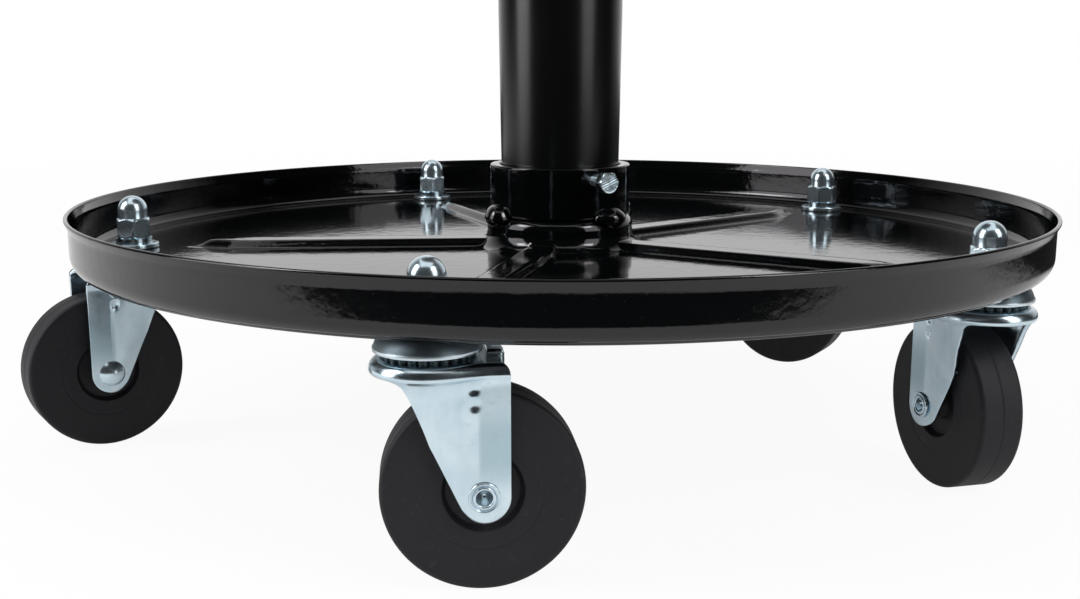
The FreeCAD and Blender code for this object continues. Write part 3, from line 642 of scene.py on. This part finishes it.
def makeFork(k):
    # the section grown to the crown's width, rolled over its shoulder and drawn down the legs, which are pressed
    # in and dented by bell curves; the axle's hole is left open
    f = forkForm
    place, _ = casterPlace(k)
    baseX, outX, outY, trail = forkSection()
    axleZ = jointAt[f"caster_{k}_roll"][2] / mm
    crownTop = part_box(f"caster_{k}_fork")[1][2] / mm - lipForm["height"]
    widestZ, skirtZ = crownTop - f["shoulder"], crownTop - f["skirt"]
    low = forkFloor(baseX + f["crownRadius"] * outX, trail, axleZ, skirtZ)
    slant = forkSlant(trail, axleZ, skirtZ)
    narrowed = 1 - f["rearTaper"] * smoothStep(baseX / f["taperRun"])
    crownHalf = f["half"] + (f["crownRadius"] - f["half"]) * narrowed
    flat = crownHalf - f["shoulder"]
    level = 0 * baseX
    rows = [(flat * share, crownTop + level) for share in np.linspace(0, 1, f["topRows"])]
    for a in np.radians(np.linspace(0, 90, f["shoulderRows"]))[1:]:
        rows.append((flat + f["shoulder"] * math.sin(a), widestZ + f["shoulder"] * math.cos(a) + level))
    bend = f["bendShare"]
    for share in np.concatenate([np.linspace(0, bend, f["bendRows"])[1:], np.linspace(bend, 1, f["legRows"])[1:]]):
        z = widestZ + (low - widestZ) * share
        w = forkWidth(z, widestZ, crownHalf) - pressedIn(baseX, z, skirtZ, slant) * np.abs(outY)
        for dentX, dentZ in f["dents"]:
            away = ((baseX - dentX) / f["dentX"]) ** 2 + ((z - dentZ) / f["dentZ"]) ** 2
            w = w - f["dentDepth"] * np.exp(-away ** 2)
        rows.append((w, z))
    grid = []
    for w, z in rows:
        rise = np.clip((z - widestZ) / f["shoulder"], 0, 1)
        rear = trail + f["foot"] - f["rearRound"] * (1 - np.sqrt(1 - rise ** 2))
        grid.append(np.stack([np.minimum(baseX, rear) + w * outX, w * outY, z], -1))
    points = np.stack(grid)
    flatPoints = points.reshape(-1, 3)
    faces = [face for face in gridFaces(len(rows), len(baseX), False, False)
             if math.dist(flatPoints[list(face)][:, [0, 2]].mean(0), (trail, axleZ)) > f["hole"]]
    fork = makePiece(f"fork{k}", points * mm, faces, place, "zinc", f"caster_{k}",
                     [f"caster_{k}_fork"], sharp=50)
    spots = np.array([vertex.co for vertex in fork.data.vertices])
    x, y, z = ((spots - place[0]) @ place[1].T / mm).T
    # painted shade mask: 1 on the rear facet of the pressed band, which reflects the shaded floor near the tray
    tone = behindCrease(x) * pressedBand(z) * (np.abs(y) > f["half"] - f["sheet"])
    fork.data.attributes.new("rearFacetShade", "FLOAT", "POINT").data.foreach_set("value", tone)
    wall = fork.modifiers.new("sheet", "SOLIDIFY")
    wall.thickness = f["sheet"] * mm
    wall.offset = -1
    wall.use_even_offset = True

def makeLip(k):
    # the folded lip behind the race: a rounded outline drawn back through its thickness, closed at both ends
    f = lipForm
    place, _ = casterPlace(k)
    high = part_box(f"caster_{k}_fork")[1][2] / mm
    low = high - f["height"] - forkForm["sheet"]
    front = headForm["raceRadius"] + f["gap"]
    corner, count = f["height"] * f["cornerShare"], f["cornerRings"]
    wall, ease, bevel, close = f["wall"], f["ease"], f["bevel"], f["close"]
    rows = []
    for along, inset in ((0, close), (0, ease), (bevel, bevel), (ease, 0), (wall - ease, 0), (wall - bevel, bevel),
                         (wall, ease), (wall, close)):
        half, top = f["half"] - inset, high - inset
        edge = np.concatenate([[[-half, low]], arcPoints(-half + corner, top - corner, corner, 180, 90, count),
                               arcPoints(half - corner, top - corner, corner, 90, 0, count), [[half, low]]])
        if inset == close:
            edge = edge * 0 + np.array([0, low])
        rows.append(np.column_stack([np.full(len(edge), front + along), edge]))
    rows = np.stack(rows)
    makePiece(f"rearLip{k}", rows * mm, gridFaces(rows.shape[0], rows.shape[1], False, False), place,
              "zinc", f"caster_{k}", (), sharp=40)

def makeHead(k):
    # a cup with an upright edge and a wall that leans in by a line and a square, then balls set round a circle
    h = headForm
    place, _ = casterPlace(k)
    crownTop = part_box(f"caster_{k}_fork")[1][2] / mm - lipForm["height"]
    under = crownTop + h["raceRise"]
    lowZ = trayUnder - h["lowDrop"]
    edgeZ = lowZ + h["edge"]
    r = h["round"]
    edgeX = h["raceRadius"] - r
    rise = np.linspace(0, 1, h["coneRings"])
    straight, curved = h["coneLean"]
    cone = np.stack([edgeX + (h["coneTop"] - h["raceRadius"] + r) * (straight * rise + curved * rise ** 2),
                     edgeZ + (trayUnder - edgeZ) * rise], 1)
    race = np.concatenate([[[h["pin"], under], [h["skirt"], under], [h["skirt"], lowZ + r]],
                           arcPoints(h["skirt"] + r, lowZ + r, r, 180, 270, 3),
                           arcPoints(edgeX, lowZ + r, r, -90, 0, 4),
                           arcPoints(edgeX, edgeZ - r, r, 0, 60, 4), cone, [[h["pin"], trayUnder]]])
    lathe(f"upperRace{k}", race, h["segments"], place, "dullZinc", "base",
          ["caster_upper_races"] if k == 1 else (), True)
    v = np.linspace(0, np.pi, h["ballRows"])[:, None]
    u = np.linspace(0, 2 * np.pi, h["ballCols"], endpoint=False)[None, :]
    grids = []
    for turn in np.arange(h["ballCount"]) * 2 * np.pi / h["ballCount"]:
        x = h["ballPitch"] * math.cos(turn) + h["ballRadius"] * np.sin(v) * np.cos(u)
        y = h["ballPitch"] * math.sin(turn) + h["ballRadius"] * np.sin(v) * np.sin(u)
        z = crownTop + h["ballRise"] + h["ballRadius"] * np.cos(v) + 0 * u
        grids.append(np.stack([x, y, z], -1) * mm)
    points, faces = joinGrids(grids)
    makePiece(f"balls{k}", points, faces, place, "greasedShadedSteel", f"caster_{k}",
              [f"caster_{k}_balls"], sharp=80)

def makeAxle(k):
    # a turned section: hollow end with a rolled ring and a flare, plain shank, head domed as part of a circle
    a = axleForm
    half = forkForm["half"]
    end, ring, flare = -half, a["ring"], a["radius"] + a["flare"]
    (pitX, pitZ), (mouthX, mouthZ) = a["pitShares"], a["mouth"]
    dome = (a["head"] ** 2 + a["headHeight"] ** 2) / (2 * a["headHeight"])
    domeStart = math.degrees(math.acos(a["head"] / dome))
    profile = np.concatenate([
        [[0, end + a["pitDepth"]], [a["bore"] * pitX, end + a["pitDepth"] * pitZ],
         [a["bore"] - mouthX, end + mouthZ]],
        arcPoints(a["bore"] + ring, end - a["flare"] + ring, ring, 180, 360, 8),
        arcPoints(a["bore"] + a["grooveOut"], end - a["groove"], a["groove"], 180, 0, 4),
        arcPoints(flare - a["flareRound"], end - a["flareDrop"], a["flareRound"], 200, 360, 7),
        [[flare, end], [a["radius"], end + a["shankStep"]], [a["radius"], half], [a["head"], half]],
        arcPoints(0, half + a["headHeight"] - dome, dome, domeStart, 90, 10)])
    origin, basis = axlePlace(k)
    if k in a["turned"]:
        basis = basis * np.array([[1], [-1], [-1]])
    lathe(f"axle{k}", profile, a["segments"], (origin, basis), "zincFastener", f"caster_{k}",
          [f"caster_{k}_axle"])

def makeWheel(k):
    # half the section of the wheel, mirrored: hub recess, side face with a faint ring, rounded tread edge
    w = wheelForm
    half = w["width"] / 2
    floor = half - w["recessDepth"]
    mouth, ring, ringHalf, groove = w["mouthRound"], w["ring"], w["ringHalf"], half - w["ringDepth"]
    side = np.concatenate([
        [[w["bore"], floor], [w["recess"] - w["floorStop"], floor]],
        arcPoints(w["recess"] - w["floorInset"], floor + w["floorRound"], w["floorRound"], -90, -30, 3),
        arcPoints(w["recess"] + mouth, half - mouth, mouth, 150, 90, 4),
        [[ring - ringHalf, half], [ring, groove], [ring + ringHalf, groove], [ring + 2 * ringHalf, half]],
        arcPoints(w["radius"] - w["edge"], half - w["edge"], w["edge"], 90, 0, 7),
        [[w["radius"], w["seamHalf"]], [w["radius"] - w["seam"], 0.0]]])
    profile = np.concatenate([side, side[::-1][1:] * np.array([1, -1])])
    lathe(f"wheel{k}", profile, w["segments"], axlePlace(k), "wheel_charcoal", f"wheel_{k}",
          [f"caster_{k}_wheel"], True)

for k in casterNumbers:
    makeFork(k)
    makeLip(k)
    makeHead(k)
    makeAxle(k)
    makeWheel(k)
print("casters made")

# Seat

seatForm = dict(
    crown=17.0, seamInset=7.0, skirtWall=4.0, clearance=0.3, rise=3.5, shrink=2.5, bow=0.8, voxel=5.0,
    pressure=14.0, stiffness=5.0, air=8.0, cap=4.0, frames=20, seamReach=5.0, seamHold=3.0, seamPull=0.7,
    seamDraw=0.8, hemCut=2.5, baseRings=8, sideRings=18, crownRings=24, segments=160)
pipingForm = dict(radius=2.6, inset=1.0, rings=15, segments=240)
gripForm = dict(
    radius=9.0, bore=4.0, lead=2.0, start=4.0, ridges=7, ridgeDepth=0.5, rings=120, tipTurn=4, tipRings=12,
    segments=64)
cushionLow, cushionHigh = inMm(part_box("seat_cushion"))
boardHigh = inMm(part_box("seat_board"))[1]
seamRadius, seamZ = cushionHigh[0] - seatForm["seamInset"], cushionHigh[2] - seatForm["crown"]
boardSide, boardTop = boardHigh[0] + seatForm["clearance"], boardHigh[2] + seatForm["clearance"]
hemRadius, hemZ = boardSide + seatForm["skirtWall"], cushionLow[2]

def cushionProfile():
    # flat base, a side bowed out by a power of a sine between hem and seam, then a circular arc to the crown
    s = seatForm
    share = np.linspace(0, 1, s["sideRings"])
    bulge = cushionHigh[0] - s["shrink"] - (hemRadius + seamRadius) / 2
    sideX = hemRadius + (seamRadius - hemRadius) * share + bulge * np.sin(np.pi * share) ** s["bow"]
    side = np.stack([sideX, hemZ + (seamZ - hemZ) * share], 1)
    crown = s["crown"] - s["rise"]
    radius = (seamRadius ** 2 + crown ** 2) / (2 * crown)
    first = math.degrees(math.acos(seamRadius / radius))
    dome = arcPoints(0, seamZ + crown - radius, radius, first, 90, s["crownRings"])[1:]
    return np.concatenate([linePoints((0, hemZ), (hemRadius, hemZ), s["baseRings"])[:-1], side, dome])

def readMesh(mesh):
    # the mesh's points, in millimetres
    points = np.zeros(len(mesh.vertices) * 3)
    mesh.vertices.foreach_get("co", points)
    return points.reshape(-1, 3) / mm

def drawToSeam(points):
    # how far each point is from the seam's circle, and the point drawn towards it, more so the nearer it is
    across = np.linalg.norm(points[:, :2], axis=1, keepdims=True)
    seam = np.concatenate([points[:, :2] / np.maximum(across, 1) * (seamRadius - seatForm["seamDraw"]),
                           np.full_like(across, seamZ)], 1)
    apart = np.linalg.norm(seam - points, axis=1, keepdims=True)
    pull = smoothStep((seatForm["seamReach"] - apart) / (seatForm["seamReach"] - seatForm["seamHold"]))
    return apart[:, 0], points + (seam - points) * pull * seatForm["seamPull"]

def swollenPad():
    # the turned form is remeshed, drawn in at its seam, blown up as cloth and held to a small movement
    s = seatForm
    scene = bpy.context.scene
    profile = cushionProfile()
    mesh = bpy.data.meshes.new("padForm")
    mesh.from_pydata((lathePoints(profile, s["segments"]) * mm).reshape(-1, 3), [],
                     gridFaces(len(profile), s["segments"], False, True).tolist())
    pad = bpy.data.objects.new("padForm", mesh)
    scene.collection.objects.link(pad)
    bpy.context.view_layer.objects.active = pad
    remesh = pad.modifiers.new("remesh", "REMESH")
    remesh.mode = "VOXEL"
    remesh.voxel_size = s["voxel"] * mm
    bpy.ops.object.modifier_apply(modifier=remesh.name)
    apart, first = drawToSeam(readMesh(pad.data))
    pad.data.vertices.foreach_set("co", (first * mm).ravel())
    pad.data.update()
    shift = np.zeros_like(first)
    held = pad.vertex_groups.new(name="held")
    held.add(np.where((apart < s["seamHold"]) | (first[:, 2] < boardHigh[2]))[0].tolist(), 1.0, "REPLACE")
    cloth = pad.modifiers.new("cloth", "CLOTH")
    cloth.settings.use_pressure = True
    cloth.settings.uniform_pressure_force = s["pressure"]
    cloth.settings.tension_stiffness = s["stiffness"]
    cloth.settings.compression_stiffness = s["stiffness"]
    cloth.settings.air_damping = s["air"]
    cloth.settings.vertex_group_mass = held.name
    cloth.settings.effector_weights.gravity = 0
    cloth.point_cache.frame_start = 1
    cloth.point_cache.frame_end = s["frames"]
    for number in range(1, s["frames"] + 1):
        scene.frame_set(number)
    shift = readMesh(pad.evaluated_get(bpy.context.evaluated_depsgraph_get()).data) - first
    moved = np.maximum(np.linalg.norm(shift, axis=1, keepdims=True), 1e-6)
    shift = shift * np.minimum(1, s["cap"] / moved)
    corners = np.zeros(len(pad.data.loops), dtype=int)
    pad.data.loops.foreach_get("vertex_index", corners)
    bpy.data.objects.remove(pad)
    scene.frame_set(1)
    return first + shift, corners.reshape(-1, 4)

def makeCushion():
    # the base is cut off and its edge carried to the hem, in to the board, up its side and across its top
    points, faces = swollenPad()
    faces = faces[points[faces][:, :, 2].min(1) > hemZ + seatForm["hemCut"]]
    ends = np.stack([faces, np.roll(faces, -1, 1)], -1).reshape(-1, 2)
    border = ends[~np.isin(ends @ [1, len(points)], ends @ [len(points), 1])]
    rim, order = np.unique(border, return_inverse=True)
    order = order.reshape(-1, 2)
    turn = np.arctan2(points[rim, 1], points[rim, 0])[None, :]
    tuck = np.array([[hemRadius, hemZ], [boardSide, hemZ], [boardSide, boardTop], [0, boardTop]])[:, :, None]
    rings = np.stack([tuck[:, 0] * np.cos(turn), tuck[:, 0] * np.sin(turn), tuck[:, 1] + 0 * turn], -1)
    labels = np.concatenate([rim[None, :], len(points) + np.arange(rings[..., 0].size).reshape(len(tuck), -1)])
    bands = np.stack([labels[:-1, order[:, 1]], labels[:-1, order[:, 0]], labels[1:, order[:, 0]],
                      labels[1:, order[:, 1]]], -1).reshape(-1, 4)
    used, faces = np.unique(np.concatenate([faces, bands]), return_inverse=True)
    points = np.concatenate([points, rings.reshape(-1, 3)])[used]
    cushion = makePiece("seatPad", points * mm, faces.reshape(-1, 4), worldPlace, "vinyl", "seat",
                        ["seat_cushion"], sharp=70)
    smooth = cushion.modifiers.new("smooth", "SUBSURF")
    smooth.levels = 1
    smooth.render_levels = 1

def makePiping():
    # a round cord of vinyl lying in the seam, a small circle swept round the seat
    p = pipingForm
    profile = arcPoints(seamRadius - p["inset"], seamZ, p["radius"], 0, 360, p["rings"])[:-1]
    lathe("seatPiping", profile, p["segments"], worldPlace, "vinyl", "seat", (), True, sharp=80)

def makeGrip():
    # a sleeve whose radius dips by a cosine in shallow rings along its length, with a half-round end
    g = gripForm
    gripLow, gripHigh = inMm(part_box("lever_grip"))
    length = gripHigh[0] - gripLow[0]
    start, end = g["start"], length - g["radius"]
    along = np.linspace(start, end, g["rings"])
    ripple = np.cos(2 * np.pi * g["ridges"] * (along - start) / (end - start))
    wave = g["radius"] - g["ridgeDepth"] * (0.5 - 0.5 * ripple)
    profile = np.concatenate([[[g["bore"], 0], [g["radius"] - g["lead"], 0]], np.stack([wave, along], 1),
                              arcPoints(0, end, g["radius"], g["tipTurn"], 90, g["tipRings"])])
    origin = np.array([gripLow[0], (gripLow[1] + gripHigh[1]) / 2, (gripLow[2] + gripHigh[2]) / 2]) * mm
    basis = np.array([[0, 0, -1.0], [0, 1.0, 0], [1.0, 0, 0]])
    lathe("leverGrip", profile, g["segments"], (origin, basis), "grip_plastic", "lever", ["lever_grip"])

makeCushion()
makePiping()
makeGrip()
print("seat made")

# Studio

studio = dict(floorSize=7.0, floorColour=0.92, floorRough=0.9, floorGlow=0.94, fadeFrom=0.8, fadeTo=1.7,
              mirrorGlow=0.35, darkFloor=0.03, darkFrom=-0.43, darkTo=-0.50, sideWay=(0.6, 0.8, 0.0),
              sideFrom=0.38, sideTo=0.56, ambient=0.32, darkFront=0.02, frontEdge=0.30, backEdge=0.90,
              aim=(0.0, 0.0, 0.25),
              boxes=(("leftBox", (-1.43, -0.45, 0.80), (0.80, 1.60), 13.0),
                     ("rightBox", (1.18, -0.92, 0.80), (0.70, 1.60), 7.5),
                     ("leftCore", (-1.34, -0.46, 1.22), (0.42, 0.42), 6.0),
                     ("rightCore", (1.10, -0.88, 1.22), (0.40, 0.40), 5.0),
                     ("topBox", (0.0, -0.05, 1.9), (2.0, 2.3), 15.0)))
cameraForm = dict(
    place=(0.0, -0.56137, 0.16340), focalPixels=1319.5, imageWidth=1080, sensor=36.0, pitch=10.835, yaw=-0.865,
    near=0.01)

def floorMaterial():
    # pale floor whose glow thins the shadow and grows to plain white far out; to reflections it is dark in front
    # and far off at one side
    material = bpy.data.materials.new("studioFloor")
    material.use_nodes = True
    tree = material.node_tree
    value = Value(tree, None)
    path = tree.nodes.new("ShaderNodeLightPath")
    camera = Value(tree, path.outputs["Is Camera Ray"])
    glossy = Value(tree, path.outputs["Is Glossy Ray"])
    place = value.node("ShaderNodeTexCoord", None, 3)
    ahead = value.node("ShaderNodeSeparateXYZ", None, 1, Vector=place)
    ahead = ahead.between(studio["darkFrom"], studio["darkTo"])
    aside = value.node("ShaderNodeVectorMath", {"operation": "DOT_PRODUCT"}, 1, i0=place, i1=studio["sideWay"])
    aside = aside.between(studio["sideFrom"], studio["sideTo"])
    dark = value.maths("MAXIMUM", ahead, aside)
    shader = tree.nodes["Principled BSDF"]
    shader.inputs["Roughness"].default_value = studio["floorRough"]
    shader.inputs["Specular IOR Level"].default_value = 0.0
    colour = (dark * glossy).blend(grey(studio["floorColour"]), grey(studio["darkFloor"]))
    value.join(shader.inputs["Base Color"], colour)
    glow = tree.nodes.new("ShaderNodeEmission")
    mixed = tree.nodes.new("ShaderNodeMixShader")
    far = value.node("ShaderNodeVectorMath", {"operation": "LENGTH"}, 1, i0=place)
    far = far.between(studio["fadeFrom"], studio["fadeTo"])
    seen = camera * (far * (1 - studio["floorGlow"]) + studio["floorGlow"])
    value.join(mixed.inputs[0], seen + glossy * (1 - dark) * studio["mirrorGlow"])
    tree.links.new(shader.outputs[0], mixed.inputs[1])
    tree.links.new(glow.outputs[0], mixed.inputs[2])
    tree.links.new(mixed.outputs[0], tree.nodes["Material Output"].inputs["Surface"])
    return material

def makeFloor():
    half = studio["floorSize"] / 2
    corners = [(-half, -half, 0), (half, -half, 0), (half, half, 0), (-half, half, 0)]
    mesh = bpy.data.meshes.new("studioFloor")
    mesh.from_pydata(corners, [], [(0, 1, 2, 3)])
    mesh.materials.append(floorMaterial())
    floor = bpy.data.objects.new("studioFloor", mesh)
    bpy.context.scene.collection.objects.link(floor)

def makeWorld():
    # white to the camera; reflections see a white sweep behind and a dark room in front; even light for the rest
    world = bpy.data.worlds.new("studio")
    world.use_nodes = True
    bpy.context.scene.world = world
    tree = world.node_tree
    value = Value(tree, None)
    path = tree.nodes.new("ShaderNodeLightPath")
    camera = Value(tree, path.outputs["Is Camera Ray"])
    glossy = Value(tree, path.outputs["Is Glossy Ray"])
    clear = Value(tree, path.outputs["Is Transmission Ray"])
    direction = value.node("ShaderNodeTexCoord", None, 0)
    depth = value.node("ShaderNodeSeparateXYZ", None, 1, Vector=direction)
    sweep = depth.between(studio["frontEdge"], studio["backEdge"])
    sweep = sweep * (1 - studio["darkFront"]) + studio["darkFront"]
    mirrored = value.maths("MAXIMUM", glossy, clear)
    around = mirrored * (sweep - studio["ambient"]) + studio["ambient"]
    background = tree.nodes["Background"]
    background.inputs["Color"].default_value = (1, 1, 1, 1)
    value.join(background.inputs["Strength"], camera * (1 - around) + around)

def makeLights():
    # soft boxes turned to face the aim
    for name, place, size, power in studio["boxes"]:
        lamp = bpy.data.lights.new(name, "AREA")
        lamp.shape = "RECTANGLE"
        lamp.size, lamp.size_y = size
        lamp.energy = power
        lightObject = bpy.data.objects.new(name, lamp)
        bpy.context.scene.collection.objects.link(lightObject)
        away = np.array(place) - np.array(studio["aim"])
        lightObject.location = place
        lightObject.rotation_euler = (math.atan2(math.hypot(away[0], away[1]), away[2]), 0,
                                      math.atan2(away[0], -away[1]))

def makeCamera():
    c = cameraForm
    lens = bpy.data.cameras.new("photoCamera")
    lens.sensor_width = c["sensor"]
    lens.lens = c["focalPixels"] / c["imageWidth"] * c["sensor"]
    lens.clip_start = c["near"]
    camera = bpy.data.objects.new("photoCamera", lens)
    camera.location = c["place"]
    camera.rotation_euler = (math.radians(90 - c["pitch"]), 0, math.radians(-c["yaw"]))
    bpy.context.scene.collection.objects.link(camera)
    bpy.context.scene.camera = camera

makeFloor()
makeWorld()
makeLights()
makeCamera()
bpy.context.scene.view_settings.view_transform = "Standard"
print("studio made")
